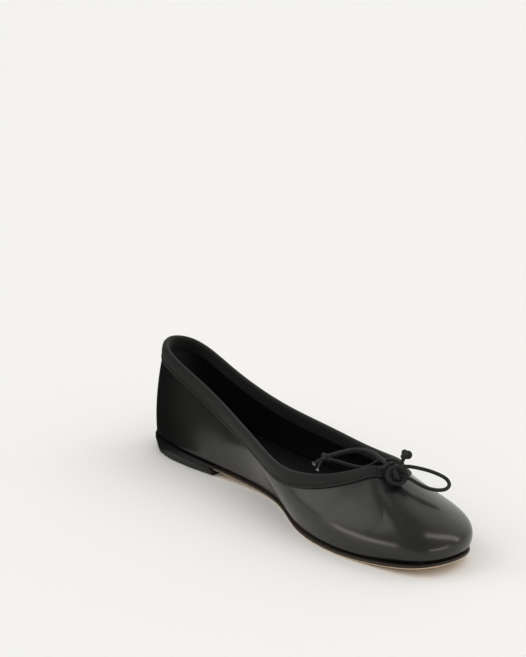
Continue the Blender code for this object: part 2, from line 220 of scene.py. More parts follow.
class Wall:
    """The upper's outer face as ribs from the top edge down to the foot, one at each station."""

    def __init__(self, per_section):
        v = section_values(per_section)
        foot, top = v[:, :2], v[:, 2:4]
        self.away_foot, away_top = outward(foot), outward(top)
        start = foot - self.away_foot * FEATHER_INSET
        start = np.column_stack([start, sole_top(start[:, 0]) + GAP])
        end = np.column_stack([top, v[:, 4]])
        flare, rise, crown, reach = v[:, 5:6], v[:, 6:7], v[:, 7:8], v[:, 8:9]
        from_foot = start + rise * np.hstack([self.away_foot * np.cos(flare), np.sin(flare)])
        to_top = end + reach * np.hstack([away_top * np.cos(crown), -np.sin(crown)])
        t = np.linspace(0, 1, RIB_STEPS + 1)[None, :, None]
        a, b, c, d = end[:, None], to_top[:, None], from_foot[:, None], start[:, None]
        self.ribs = (1 - t) ** 3 * a + 3 * (1 - t) ** 2 * t * b + 3 * (1 - t) * t * t * c + t ** 3 * d
        steps = np.linalg.norm(np.diff(self.ribs, axis=1), axis=2)
        self.runs = np.concatenate([np.zeros((len(v), 1)), np.cumsum(steps, axis=1)], 1)
        edge = end - np.roll(end, 1, 0)
        self.along_edge = np.cumsum(np.linalg.norm(edge, axis=1))
        self.away = self.normals()

    def normals(self):
        along = np.roll(self.ribs, -1, 0) - np.roll(self.ribs, 1, 0)
        down = np.gradient(self.ribs, axis=1)
        return unit(np.cross(down, along))

    def at(self, down):
        """Points and outward directions at the lengths down each rib, an array stations by rows."""
        points = np.empty(down.shape + (3,))
        away = np.empty(down.shape + (3,))
        for k in range(len(down)):
            for axis in range(3):
                points[k, :, axis] = np.interp(down[k], self.runs[k], self.ribs[k, :, axis])
                away[k, :, axis] = np.interp(down[k], self.runs[k], self.away[k, :, axis])
        return points, unit(away)


def place_of_row_frame():
    """What takes the shoe's own x, y to the row frame: where the outsole's box stands."""
    foot = section_values(BOX_STATIONS)[:, :2]
    low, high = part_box("outsole")
    own = (foot.min(0) + foot.max(0)) / 2
    return np.array([(low[0] + high[0]) / 2 - own[0], (low[1] + high[1]) / 2 - own[1], 0.0])


SHIFT = place_of_row_frame()


def add_object(name, data):
    obj = bpy.data.objects.new(name, data)
    bpy.context.scene.collection.objects.link(obj)
    return obj


def new_piece(name, verts, faces, material, replaces=(), uv=None):
    """Smooth mesh piece in the row frame, from points in the shoe's own sizes."""
    mesh = bpy.data.meshes.new(name)
    mesh.from_pydata((np.asarray(verts) + SHIFT).tolist(), [], faces)
    if uv is not None:
        layer = mesh.uv_layers.new(name="along")
        layer.data.foreach_set("uv", np.asarray(uv, float).ravel())
    mesh.polygons.foreach_set("use_smooth", [True] * len(mesh.polygons))
    mesh.materials.append(material)
    mesh.update()
    obj = add_object(name, mesh)
    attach(obj, "root")
    if replaces:
        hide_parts(*replaces)
    return obj


def ring_faces(n, k):
    """Quads of n closed sections of k points round a closed loop."""
    faces = []
    for i in range(n):
        j = (i + 1) % n
        for a in range(k):
            b = (a + 1) % k
            faces.append((i * k + a, j * k + a, j * k + b, i * k + b))
    return faces


def sleeve_faces(first, rings, sides):
    """Quads between rings of points that follow one another from a first point on."""
    faces = []
    for ring in range(first, first + (rings - 1) * sides, sides):
        for a in range(sides):
            b = (a + 1) % sides
            faces.append((ring + a, ring + b, ring + sides + b, ring + sides + a))
    return faces


def outward_faces(verts, faces):
    """The faces, turned round if their solid's volume comes out below zero."""
    v = np.asarray(verts)
    volume = 0.0
    for face in faces:
        for k in range(1, len(face) - 1):
            volume += v[face[0]].dot(np.cross(v[face[k]], v[face[k + 1]]))
    return [tuple(reversed(face)) for face in faces] if volume < 0 else faces


def shell_piece(name, down, up, material, replaces=()):
    """Closed wall: at each station its points run down one face and up the other."""
    shell = np.concatenate([down, up], 1)
    verts = shell.reshape(-1, 3)
    faces = outward_faces(verts, ring_faces(len(shell), shell.shape[1]))
    new_piece(name, verts, faces, material, replaces)


def feed(tree, node, inputs):
    """Sets a node's inputs: each is a constant, or the output that feeds it."""
    for socket, value in inputs.items():
        if isinstance(value, bpy.types.NodeSocket):
            tree.links.new(value, node.inputs[socket])
        else:
            node.inputs[socket].default_value = value


def add_node(tree, kind, inputs=(), **settings):
    node = tree.nodes.new(kind)
    for name, value in settings.items():
        setattr(node, name, value)
    feed(tree, node, dict(inputs))
    return node


class Look:
    """A material: constants on its shader's own sockets, and nodes that vary it over the surface."""

    def __init__(self, name, colour, roughness, constants=()):
        self.material = bpy.data.materials.new(name)
        self.material.use_nodes = True
        self.tree = self.material.node_tree
        self.surface = self.tree.nodes["Principled BSDF"]
        self.give({"Base Color": (*colour, 1), "Roughness": roughness, **dict(constants)})
        self.place = self.node("ShaderNodeTexCoord").outputs["Object"]

    def give(self, inputs):
        feed(self.tree, self.surface, inputs)

    def node(self, kind, inputs=(), **settings):
        return add_node(self.tree, kind, inputs, **settings)

    def noise(self, scale, detail=4.0, roughness=0.55):
        inputs = {"Vector": self.place, "Scale": scale, "Detail": detail, "Roughness": roughness}
        return self.node("ShaderNodeTexNoise", inputs).outputs["Fac"]

    def cells(self, scale):
        inputs = {"Vector": self.place, "Scale": scale, "Smoothness": 0.5}
        return self.node("ShaderNodeTexVoronoi", inputs, feature="SMOOTH_F1").outputs["Distance"]

    def lengthwise(self):
        """The piece's UV map: millimetres along it and across."""
        return self.node("ShaderNodeUVMap", uv_map="along").outputs["UV"]

    def bands(self, inputs):
        wave = self.node("ShaderNodeTexWave", inputs, wave_type="BANDS", bands_direction="X")
        return wave.outputs["Fac"]

    def blend(self, value, first, second):
        """The colour that lies between two at a 0 to 1 value."""
        inputs = {"A": (*first, 1), "B": (*second, 1), "Factor": value}
        return self.node("ShaderNodeMix", inputs, data_type="RGBA").outputs["Result"]

    def vary_colour(self, value, first, second):
        self.give({"Base Color": self.blend(value, first, second)})

    def vary_roughness(self, value, low, high):
        """Roughness from low to high, as a noise goes through the middle of its range."""
        inputs = {"Value": value, "From Min": 0.3, "From Max": 0.7, "To Min": low, "To Max": high}
        self.give({"Roughness": self.node("ShaderNodeMapRange", inputs).outputs["Result"]})

    def bumps(self, heights):
        """Chain of bumps: rows of height value, strength and distance in metres."""
        normal = {}
        for height, strength, distance in heights:
            inputs = {"Strength": strength, "Distance": distance, "Height": height, **normal}
            normal = {"Normal": self.node("ShaderNodeBump", inputs).outputs["Normal"]}
        self.give(normal)


def upper_leather():
    """Smooth black calf: faint pores under a glossy finish that varies softly."""
    look = Look("upper leather", (0.0036, 0.0036, 0.0034), 0.40,
                {"Specular IOR Level": 0.22, "Coat Weight": 0.60, "Coat Roughness": 0.19})
    broad = look.noise(28, 3)
    middle = look.noise(85, 2)
    fine = look.noise(900, 5, 0.6)
    grain = look.cells(1500)
    look.vary_roughness(broad, 0.36, 0.46)
    look.vary_colour(broad, (0.0030, 0.0030, 0.0029), (0.0044, 0.0043, 0.0040))
    look.bumps([(broad, 0.24, 0.0012), (middle, 0.45, 0.0005), (grain, 0.12, 0.00010),
                (fine, 0.08, 0.00010)])
    return look.material


def lining_leather(name, colour):
    """Thin matt leather with a fine grain, darker in places."""
    look = Look(name, colour, 0.7)
    grain = look.cells(1200)
    fine = look.noise(600)
    dark = tuple(c * 0.75 for c in colour)
    look.vary_colour(fine, dark, colour)
    look.bumps([(grain, 0.25, 0.00012), (fine, 0.15, 0.00015)])
    return look.material


def ribbon():
    """Matt woven tape; its fine ribs run across the band, with painted shade between them."""
    look = Look("binding ribbon", (0.010, 0.010, 0.0097), 0.74,
                {"Specular IOR Level": 0.25, "Sheen Weight": 0.08, "Sheen Roughness": 0.5})
    ribs = look.bands({"Vector": look.lengthwise(), "Scale": 0.42, "Distortion": 0.6,
                       "Detail Scale": 2.0})
    fuzz = look.noise(1400, 4)
    # Painted shade: darker in the hollows between the ribs, lighter on their tops.
    look.vary_colour(ribs, (0.0050, 0.0050, 0.0048), (0.0115, 0.0115, 0.0111))
    look.bumps([(ribs, 0.45, 0.00018), (fuzz, 0.25, 0.00010)])
    return look.material


def cord_cloth():
    """Tightly woven round cord: two sets of threads that cross at a slant, with painted shade in the hollows
    of the weave.
    """
    look = Look("drawstring", (0.010, 0.010, 0.0097), 0.62,
                {"Specular IOR Level": 0.28, "Sheen Weight": 0.10, "Sheen Roughness": 0.45})
    along = look.lengthwise()
    sets = {}
    for k, lean in enumerate((35, -35)):
        turned = look.node("ShaderNodeMapping", {"Vector": along, "Rotation": (0, 0, math.radians(lean))})
        sets[k] = look.bands({"Vector": turned.outputs["Vector"], "Scale": 0.55})
    weave_and_shade = look.node("ShaderNodeMath", sets, operation="MULTIPLY").outputs["Value"]
    fuzz = look.noise(1800, 3)
    # Painted shade: darker in the hollows of the weave, lighter where the threads rise.
    look.vary_colour(weave_and_shade, (0.0060, 0.0060, 0.0058), (0.0155, 0.0155, 0.015))
    look.bumps([(weave_and_shade, 0.35, 0.00015), (fuzz, 0.2, 0.00008)])
    return look.material


def thread(name, colour):
    look = Look(name, colour, 0.6, {"Specular IOR Level": 0.2})
    look.bumps([(look.noise(2500), 0.3, 0.00008)])
    return look.material


def sole_bottom():
    """Natural vegetable-tanned leather: pale tan, faint clouds and pores, a light wax shine."""
    look = Look("natural sole leather", (0.76, 0.58, 0.38), 0.42)
    cloud = look.noise(22, 3)
    fine = look.noise(700, 4)
    look.vary_colour(cloud, (0.66, 0.46, 0.27), (0.82, 0.65, 0.45))
    look.vary_roughness(cloud, 0.38, 0.5)
    look.bumps([(fine, 0.12, 0.00010), (cloud, 0.08, 0.0005)])
    return look.material


def sole_edge():
    """Edge ink, burnished: black over the heel, then a black brown with fine lines along it."""
    look = Look("stained sole edge", (0.022, 0.016, 0.012), 0.50, {"Specular IOR Level": 0.25})
    fine = look.noise(500, 4)
    brown = look.blend(fine, (0.016, 0.012, 0.009), (0.034, 0.025, 0.018))
    ahead = look.node("ShaderNodeSeparateXYZ", {"Vector": look.place}).outputs["X"]
    heel_end = HEEL_LENGTH + SHIFT[0]
    fade = look.node("ShaderNodeMapRange", {"Value": ahead, "From Min": heel_end,
                                            "From Max": heel_end + INK_FADE})
    inked = look.node("ShaderNodeMix", {"A": (0.0055, 0.0052, 0.0050, 1), "B": brown,
                                        "Factor": fade.outputs["Result"]}, data_type="RGBA")
    look.give({"Base Color": inked.outputs["Result"]})
    look.bumps([(fine, 0.2, 0.00012)])
    return look.material


def heel_side():
    """The heel's sides: black, with a soft uneven shine."""
    look = Look("heel block", (0.006, 0.0058, 0.0056), 0.52, {"Specular IOR Level": 0.3})
    fine = look.noise(420, 4)
    broad = look.noise(40, 2)
    look.vary_roughness(broad, 0.42, 0.56)
    look.vary_colour(broad, (0.0045, 0.0044, 0.0042), (0.0085, 0.0082, 0.0078))
    look.bumps([(fine, 0.2, 0.00012)])
    return look.material


def heel_tread():
    """Matt rubber with a fine pebbled face, with painted shade in its pits."""
    look = Look("heel tread rubber", (0.010, 0.0096, 0.0092), 0.68)
    grain = look.cells(900)
    # Painted shade: darker in the pits of the pebbling, lighter between them.
    look.vary_colour(grain, (0.007, 0.0067, 0.0065), (0.015, 0.0145, 0.014))
    look.bumps([(grain, 0.4, 0.0002)])
    return look.material


def distance_to_line(points, line):
    """Level distance of each point from a line, and the share of the way along it."""
    flat = points[..., :2]
    best = np.full(flat.shape[:-1], 1.0)
    share = np.zeros(flat.shape[:-1])
    line = np.asarray(line, float) / 1000
    for k in range(len(line) - 1):
        a, b = line[k], line[k + 1]
        t = np.clip(((flat - a) @ (b - a)) / ((b - a) @ (b - a)), 0, 1)
        d = np.linalg.norm(flat - a - t[..., None] * (b - a), axis=-1)
        nearer = d < best
        best = np.where(nearer, d, best)
        share = np.where(nearer, (k + t) / (len(line) - 1), share)
    return best, share


def fold_depth(points):
    """How far the leather sinks at each point of the outer face."""
    depth = np.zeros(points.shape[:-1])
    for name, line, half_width, deep in FOLDS:
        distance, share = distance_to_line(points, line)
        fade = np.sin(math.pi * np.clip(FOLD_START + FOLD_SPAN * share, 0, 1)) ** 0.7
        depth += deep / 1000 * fade * np.exp(-(distance * 1000 / half_width) ** 2)
    return depth


def build_upper(wall):
    """Outer leather with its folds and its lower edge drawn in under the last, and the lining."""
    total = wall.runs[:, -1:]
    share = np.linspace(0, 1, WALL_ROWS) ** ROW_POWER
    down = total * share[None, :]
    outer, away = wall.at(down)
    depth = fold_depth(outer) * smoothstep(FOLDS_FROM, FOLDS_FULL, down)
    from_foot = total - down
    tuck = TUCK * np.exp(-(from_foot / TUCK_REACH) ** 2)
    level = np.zeros_like(outer)
    level[:, :, :2] = wall.away_foot[:, None]
    near_foot = smoothstep(TUCK_LEVEL, 0.0, from_foot)[..., None]
    away = unit(away * (1 - near_foot) + level * near_foot)
    face = outer - away * (depth + tuck)[..., None]
    back = outer - away * OUTER_LEATHER - away * np.minimum(depth, FOLD_BACK)[..., None]
    back[:, -1, 2] = face[:, -1, 2]
    shell_piece("upper_leather", face, back[:, ::-4], upper_leather(), ["upper"])

    down = total * np.linspace(0, 1, LINING_ROWS)[None, :]
    near, away = wall.at(down)
    first = near - away * (OUTER_LEATHER + LINING_CLEAR)
    first = first - away * FOLD_BACK * smoothstep(0.0, 0.01, down)[..., None]
    second = near - away * WALL
    second[:, -1, 2] = first[:, -1, 2]
    shell_piece("upper_lining", second, first[:, ::-1],
                lining_leather("lining leather", (0.0022, 0.0022, 0.0022)))


# The binding's section: down the wall and out from its outer face, in millimetres.
BINDING_SECTION = [
    (8.05, 0.32), (8.10, 0.48), (7.95, 0.62), (7.3, 0.70), (6.7, 0.64), (6.3, 0.50), (5.9, 0.66), (5.2, 0.88),
    (4.2, 1.05), (3.0, 1.16), (1.8, 1.22), (0.8, 1.14), (0.1, 0.86), (-0.5, 0.42), (-0.85, -0.2),
    (-0.95, -0.9), (-0.75, -1.6), (-0.3, -2.15), (0.4, -2.50), (1.6, -2.62), (3.4, -2.58), (5.6, -2.50),
    (7.4, -2.42), (7.95, -2.25), (8.0, -1.95), (4.0, -1.92), (0.6, -1.90), (-0.3, -1.2), (-0.35, -0.4),
    (0.4, 0.28), (4.0, 0.30),
]

# Gathers of the ribbon where the drawstring leaves it: station, reach in metres, strength.
GATHERS = [(162, 0.0050, 0.26), (196, 0.0045, 0.20)]
GATHER_PITCH = 0.0023
GATHER_RISE = 0.35      # of the whole ribbon there
CROSS_WAVE, CROSS_RATE = 0.4, 3.7       # a second wave, which makes the gathers uneven


def build_binding(wall):
    """The ribbon folded over the top edge and puffed by the drawstring in it."""
    n = len(wall.ribs)
    edge = wall.along_edge
    down, out = (np.array(BINDING_SECTION) / 1000).T
    points, away = wall.at(np.tile(down.clip(0), (n, 1)))
    over = unit(wall.ribs[:, 0] - wall.ribs[:, EDGE_STEPS])
    puff = 1 + BAND_PUFF * np.sin(edge / PUFF_SHORT) * np.sin(edge / PUFF_LONG)
    for station, reach, strength in GATHERS:
        from_exit = edge - edge[station]
        waves = np.sin(2 * math.pi * from_exit / GATHER_PITCH)
        waves = waves + CROSS_WAVE * np.sin(CROSS_RATE * from_exit / GATHER_PITCH)
        puff = puff + strength * np.exp(-(from_exit / reach) ** 2) * (GATHER_RISE + waves)
    swell = np.where(out > PUFF_FROM, puff[:, None], 1)[..., None]
    shape = points + away * out[None, :, None] * swell
    shape = shape + over[:, None] * (-down).clip(0)[None, :, None]
    k = len(down)
    steps = np.hypot(np.diff(down, append=down[:1]), np.diff(out, append=out[:1]))
    across = np.concatenate([[0], np.cumsum(steps)]) * 1000
    around = np.append(edge, edge[-1] * 2 - edge[-2]) * 1000
    uv = []
    for i in range(n):
        for a in range(k):
            uv += [(around[i], across[a]), (around[i + 1], across[a]),
                   (around[i + 1], across[a + 1]), (around[i], across[a + 1])]
    new_piece("topline_binding_ribbon", shape.reshape(-1, 3), ring_faces(n, k), ribbon(),
              ["topline_binding"], uv)


def build_stitches(wall):
    """A row of stitches in the groove above the binding's lower edge."""
    line, away = wall.at(np.full((len(wall.ribs), 1), STITCH_DOWN))
    line = line[:, 0] + away[:, 0] * STITCH_OUT
    line = np.vstack([line, line[:1]])
    away = np.vstack([away[:, 0], away[:1, 0]])
    run = np.concatenate([[0], np.cumsum(np.linalg.norm(np.diff(line, axis=0), axis=1))])
    verts, faces = [], []
    count = int(run[-1] / STITCH_PITCH)
    sides, rings = 6, 6
    swell = np.sqrt(np.clip(1 - (np.linspace(-1, 1, rings) * 0.98) ** 4, 0.02, 1))
    for s in range(count):
        at = (s + 0.5) * run[-1] / count + np.linspace(-0.5, 0.5, rings) * STITCH_LONG
        p = np.stack([np.interp(at, run, line[:, axis]) for axis in range(3)], 1)
        up = unit(np.stack([np.interp(at, run, away[:, axis]) for axis in range(3)], 1))
        side = unit(np.cross(np.gradient(p, axis=0), up))
        base = len(verts)
        for i in range(rings):
            middle = p[i] - up[i] * (1 - swell[i]) * STITCH_THICK
            for a in range(sides):
                turn = 2 * math.pi * a / sides
                around = up[i] * math.sin(turn) * STITCH_FLAT + side[i] * math.cos(turn)
                verts.append(middle + STITCH_THICK * swell[i] * around)
        faces += sleeve_faces(base, rings, sides)
        faces.append(tuple(base + a for a in range(sides))[::-1])
        faces.append(tuple(base + (rings - 1) * sides + a for a in range(sides)))
    new_piece("binding_stitches", verts, faces,
              thread("stitch thread", (0.004, 0.004, 0.0038)))


def sides_of(loop):
    """The outline's inner and outer side, each from the back to the toe."""
    low, high = loop[:, 0].argmin(), loop[:, 0].argmax()
    turned = np.roll(loop, -low, 0)
    turn = (high - low) % len(loop)
    return turned[:turn + 1], np.vstack([turned[turn:], turned[:1]])[::-1]


def middle_line(loop, margin_back, margin_toe):
    """For each point of the outline, the point of the shoe's middle line that it closes to."""
    inner, outer = sides_of(loop)
    x = np.clip(loop[:, 0], inner[0, 0] + margin_back, inner[-1, 0] - margin_toe)
    y = (np.interp(x, inner[:, 0], inner[:, 1]) + np.interp(x, outer[:, 0], outer[:, 1])) / 2
    return np.stack([x, y], 1)


# From the back and from the toe to the ends of the middle line.
OUTSOLE_MARGINS = (0.022, 0.030)
INSOLE_MARGINS = (0.020, 0.028)


def slab(name, loop, profile, materials, replaces, margins, plain_to=0.0):
    """Flat piece with a shaped edge. profile: rows of inset, height function, offset from it, and
    the material of the strip that follows; both faces close to the middle line. Back to plain_to
    the edge keeps the first material."""
    away = outward(loop)
    middle = middle_line(loop, *margins)
    rows = [(*profile[0], share) for share in CLOSING_SHARES[::-1]]
    rows += [(*row, 0.0) for row in profile]
    rows += [(*profile[-1], share) for share in CLOSING_SHARES]
    rings = []
    for inset, height, offset, look, share in rows:
        flat = (loop - away * inset) * (1 - share) + middle * share
        rings.append(np.column_stack([flat, height(flat[:, 0]) + offset]))
    looks = [row[3] for row in rows]
    n, k = len(loop), len(rings)
    faces, face_looks = [], []
    edge_end = len(CLOSING_SHARES) + len(profile) - 2
    for i in range(n):
        j = (i + 1) % n
        for a in range(k - 1):
            faces.append((i * k + a, j * k + a, j * k + a + 1, i * k + a + 1))
            face_looks.append(0 if loop[i, 0] <= plain_to and a < edge_end else looks[a])
    for a, look in ((0, looks[0]), (k - 1, looks[-1])):
        cap = [i * k + a for i in range(n)]
        for i in range(n // 2 - 1):
            quad = (cap[i], cap[i + 1], cap[-(i + 2)], cap[-(i + 1)])
            faces.append(quad if a else quad[::-1])
            face_looks.append(look)
    obj = new_piece(name, np.stack(rings, 1).reshape(-1, 3), faces, materials[0], replaces)
    for material in materials[1:]:
        obj.data.materials.append(material)
    obj.data.polygons.foreach_set("material_index", face_looks)


def build_outsole(per_section):
    """Top face hidden by the upper, a rounded stained edge, a bare bevel, the natural underside."""
    loop = section_values(per_section)[:, :2]
    top, low = sole_top, sole_under
    ahead = smoothstep(HEEL_LENGTH - 0.004, HEEL_LENGTH + 0.002, loop[:, :1])
    profile = [
        # inset, height function, offset from it, material of the strip that follows
        (0.0030, top, 0, 0), (0.0004, top, -0.00002, 0), (0.00012, top, -0.00014, 0), (0.0, top, -0.0004, 0),
        (0.0, low, 0.00125, 0), (0.00010 * ahead, low, 0.00090, 1), (0.00034 * ahead, low, 0.00050, 1),
        (0.0009 * ahead, low, 0.00014, 1), (0.0016 * ahead, low, 0.0, 1), (0.0060, low, 0.0, 1),
    ]
    slab("outsole_leather", loop, profile, [sole_edge(), sole_bottom()], ["outsole"],
         OUTSOLE_MARGINS, HEEL_LENGTH)


def build_insole(per_section):
    """The sock inside: slightly domed edge, on the outsole."""
    foot = section_values(per_section)[:, :2]
    loop = foot - outward(foot) * (FEATHER_INSET + WALL + GAP * 1.3)

    def base(x):
        return sole_top(x) + GAP

    high = INSOLE_THICK
    profile = [
        # inset, height function, offset from it, material
        (0.0050, base, high, 0), (0.0016, base, high * 0.97, 0), (0.0006, base, high * 0.82, 0),
        (0.0, base, high * 0.45, 0), (0.0, base, 0.0, 0), (0.004, base, 0.0, 0),
    ]
    sock = lining_leather("sock leather", (0.0042, 0.0040, 0.0041))
    slab("insole_sock", loop, profile, [sock], ["insole"], INSOLE_MARGINS)


# The heel's levels, and how far each is drawn in: metres from the floor for the tread and the groove
# over it, and then shares of the heel's height.
TREAD_LEVELS = [(0.0, 0.00035), (0.0003, 0.0001), (0.0009, 0.0), (0.0030, 0.0)]
GROOVE_LEVELS = [(0.0033, 0.00008), (0.0036, 0.0)]
BLOCK_SHARES = [(0.5, 0.0), (0.8, 0.0), (0.97, 0.0), (1.0, 0.0001)]


def build_heel(per_section):
    """Low block under the seat with a hollow front face, and its rubber tread."""
    foot = section_values(per_section)[:, :2]
    inner, outer = sides_of(foot - outward(foot) * HEEL_INSET)
    t = np.linspace(0, 1, HEEL_STEPS)
    x = inner[0, 0] + HEEL_START + (HEEL_LENGTH - inner[0, 0]) * (1 - np.cos(math.pi * t / 2))
    x[-1] = HEEL_LENGTH
    y_in, y_out = np.interp(x, inner[:, 0], inner[:, 1]), np.interp(x, outer[:, 0], outer[:, 1])
    wide = y_out - y_in
    across = np.linspace(0, 1, HEEL_ACROSS)
    back = x[:, None] - (BREAST_BOW * t ** 6)[:, None] * (1 - (2 * across - 1) ** 2)
    top = sole_under(back) - GAP
    levels = [(np.full_like(top, level), inset) for level, inset in TREAD_LEVELS + GROOVE_LEVELS]
    levels += [(top * share, inset) for share, inset in BLOCK_SHARES]
    n, m = HEEL_STEPS, HEEL_ACROSS
    verts, faces, looks = [], [], []
    for z, inset in levels:
        share = 1 - z / top
        # Near the back end the heel is narrow, and neither draw closes it.
        drawn = np.minimum(HEEL_DRAW, wide / 10)[:, None] * share + np.minimum(inset, wide / 8)[:, None]
        y = y_in[:, None] + wide[:, None] * across + drawn * (1 - 2 * across)
        forward = HEEL_BACK_DRAW * (1 - back / HEEL_LENGTH).clip(0, 1) ** 3 * share
        verts += np.stack([back + forward, y, z], 2).reshape(-1, 3).tolist()
    rim = [k * m for k in range(n)] + [(n - 1) * m + a for a in range(1, m)]
    rim += [k * m + m - 1 for k in range(n - 2, -1, -1)] + [a for a in range(m - 2, 0, -1)]
    for level in range(len(levels) - 1):
        lower, upper = level * n * m, (level + 1) * n * m
        for a in range(len(rim)):
            b = (a + 1) % len(rim)
            faces.append((rim[a] + lower, rim[b] + lower, rim[b] + upper, rim[a] + upper))
            looks.append(1 if level < len(TREAD_LEVELS) - 1 else 0)
    for base, look in ((0, 1), ((len(levels) - 1) * n * m, 0)):
        for corner in [base + k * m + a for k in range(n - 1) for a in range(m - 1)]:
            quad = (corner, corner + 1, corner + m + 1, corner + m)
            faces.append(quad if look else quad[::-1])
            looks.append(look)
    obj = new_piece("heel_block", verts, faces, heel_side(), ["heel"])
    obj.data.materials.append(heel_tread())
    obj.data.polygons.foreach_set("material_index", looks)


def smooth_path(points, step, fine_steps=24, rounds=6):
    """Evenly stepped smooth line through points."""
    p = np.asarray(points, float)
    p = np.vstack([2 * p[0] - p[1], p, 2 * p[-1] - p[-2]])
    fine = []
    for k in range(1, len(p) - 2):
        for t in np.linspace(0, 1, fine_steps, endpoint=False):
            fine.append(0.5 * (2 * p[k] + (p[k + 1] - p[k - 1]) * t
                               + (2 * p[k - 1] - 5 * p[k] + 4 * p[k + 1] - p[k + 2]) * t * t
                               + (3 * p[k] - p[k - 1] - 3 * p[k + 1] + p[k + 2]) * t ** 3))
    fine = np.array(fine + [p[-2]])
    for _ in range(rounds):
        fine[1:-1] = fine[1:-1] * 0.5 + (fine[:-2] + fine[2:]) * 0.25
    run = np.concatenate([[0], np.cumsum(np.linalg.norm(np.diff(fine, axis=0), axis=1))])
    at = np.linspace(0, run[-1], max(3, int(round(run[-1] / step)) + 1))
    return np.stack([np.interp(at, run, fine[:, axis]) for axis in range(3)], 1)


DOME_RINGS, DOME_REACH = 4, 0.7     # of a cord's domed end; its reach is a share of the radius
KNOT_POINTS, TURN_POINTS = 120, 96  # round an end knot's line, and round a plain turn


def domed(line, along, radius):
    """An open line with the rings of its two domed ends."""
    out = np.linspace(1, 0, DOME_RINGS + 1)[:-1]
    caps = np.sqrt(1 - out ** 2)
    head = [line[0] - along[0] * radius[0] * r for r in out * DOME_REACH]
    tail = [line[-1] + along[-1] * radius[-1] * r for r in out[::-1] * DOME_REACH]
    line = np.vstack([head, line, tail])
    along = np.vstack([np.tile(along[0], (DOME_RINGS, 1)), along, np.tile(along[-1], (DOME_RINGS, 1))])
    radius = np.concatenate([radius[0] * caps.clip(0.05), radius, radius[-1] * caps[::-1].clip(0.05)])
    return line, along, radius


def tube(name, line, radius, material, sides=16, closed=False):
    """Round cord along a line, all round or with domed ends."""
    radius = np.full(len(line), radius)
    if closed:
        along = unit(np.roll(line, -1, 0) - np.roll(line, 1, 0))
    else:
        line, along, radius = domed(line, unit(np.gradient(line, axis=0)), radius)
    n = len(line)
    side = [unit(np.cross(along[0], (0, 0, 1.0)))]
    for k in range(1, n):
        side.append(unit(side[-1] - along[k] * side[-1].dot(along[k])))
    side = np.array(side)
    if closed:
        gap = math.atan2(np.cross(side[-1], side[0]).dot(along[0]), side[-1].dot(side[0]))
        turn = np.linspace(0, gap, n)[:, None]
        side = side * np.cos(turn) + np.cross(along, side) * np.sin(turn)
    up = np.cross(along, side)
    turn = 2 * math.pi * np.arange(sides) / sides
    ring = side[:, None] * np.cos(turn)[None, :, None] + up[:, None] * np.sin(turn)[None, :, None]
    verts = (line[:, None] + ring * radius[:, None, None]).reshape(-1, 3)
    run = np.concatenate([[0], np.cumsum(np.linalg.norm(np.diff(line, axis=0), axis=1))]) * 1000
    girth = math.pi * CORD_DIAMETER * 1000
    faces, uv = [], []
    for i in range(n if closed else n - 1):
        j = (i + 1) % n
        high = run[j] if j else run[-1] + run[1]
        for a in range(sides):
            b = (a + 1) % sides
            faces.append((i * sides + a, i * sides + b, j * sides + b, j * sides + a))
            low_a, high_a = girth * a / sides, girth * (a + 1) / sides
            uv += [(run[i], low_a), (run[i], high_a), (high, high_a), (high, low_a)]
    if not closed:
        for start, order, end in ((0, -1, run[0]), ((n - 1) * sides, 1, run[-1])):
            faces.append(tuple(range(start, start + sides))[::order])
            uv += [(end, 0.0)] * sides
    return new_piece(name, verts, faces, material, uv=uv)


def trefoil(centre, size, thick, turned, stretch=(1, 1, 1)):
    """Closed line of an overhand knot, turned about X and Y by two angles in radians."""
    t = np.linspace(0, 2 * math.pi, KNOT_POINTS + 1)[:-1]
    line = np.stack([np.sin(t) + 2 * np.sin(2 * t), np.cos(t) - 2 * np.cos(2 * t), -1.35 * np.sin(3 * t)], 1)
    spin = np.array(Matrix.Rotation(turned[0], 3, "X") @ Matrix.Rotation(turned[1], 3, "Y"))
    return centre + (line * np.array(stretch) * (size - thick) / 3.0) @ spin.T


# The bow's points ahead of, beside and above the front of the top edge, in millimetres.
KNOT = (11.4, -7.2, 1.2)
CORD_FRONT = [
    (1.2, -8.0, -1.0), (0.6, -9.4, 1.6), (2.0, -8.6, 3.4), (5.4, -6.4, 4.4), (11.0, -4.4, 5.0),
    (14.2, -1.2, 5.5), (20.4, 5.0, 4.0), (25.4, 9.7, 1.7), (28.6, 11.9, -0.4), (30.8, 11.6, -2.6),
    (31.4, 8.4, -4.0), (29.2, 3.8, -4.0), (24.4, -0.4, -2.6), (15.4, -2.8, -0.2), (11.0, -5.0, 1.0),
    (6.8, -7.4, 3.6), (3.4, -8.2, 5.8), (-2.6, -7.2, 6.9), (-9.0, -5.8, 7.0), (-16.8, -5.8, 6.4),
    (-22.2, -9.8, 5.6), (-25.2, -16.4, 4.6), (-27.9, -22.4, 3.1),
]
CORD_REAR = [
    (9.6, -6.6, 2.2), (5.6, -5.6, 3.0), (0.0, -4.2, 4.2), (-6.4, -3.6, 4.6), (-13.0, -2.8, 4.5),
    (-19.6, -3.0, 4.1), (-24.4, -7.4, 3.7), (-26.6, -13.2, 3.2), (-29.6, -17.2, 1.8), (-32.6, -17.6, -0.4),
    (-33.6, -14.6, -2.4), (-30.8, -11.2, -3.4), (-25.0, -8.8, -4.0), (-18.8, -5.8, -4.2), (-14.6, -3.0, -2.6),
    (-11.4, -1.4, 0.2), (-7.6, -0.4, 2.2), (-2.6, -0.6, 2.9), (3.4, -2.4, 2.2), (8.4, -4.2, 3.0),
    (9.4, -2.8, 6.2), (10.4, -0.9, 10.2),
]
CORD_EXIT_REAR = [(3.4, -1.0, -1.2), (4.2, -1.6, 1.4), (6.0, -3.6, 3.6), (8.6, -5.6, 3.8)]
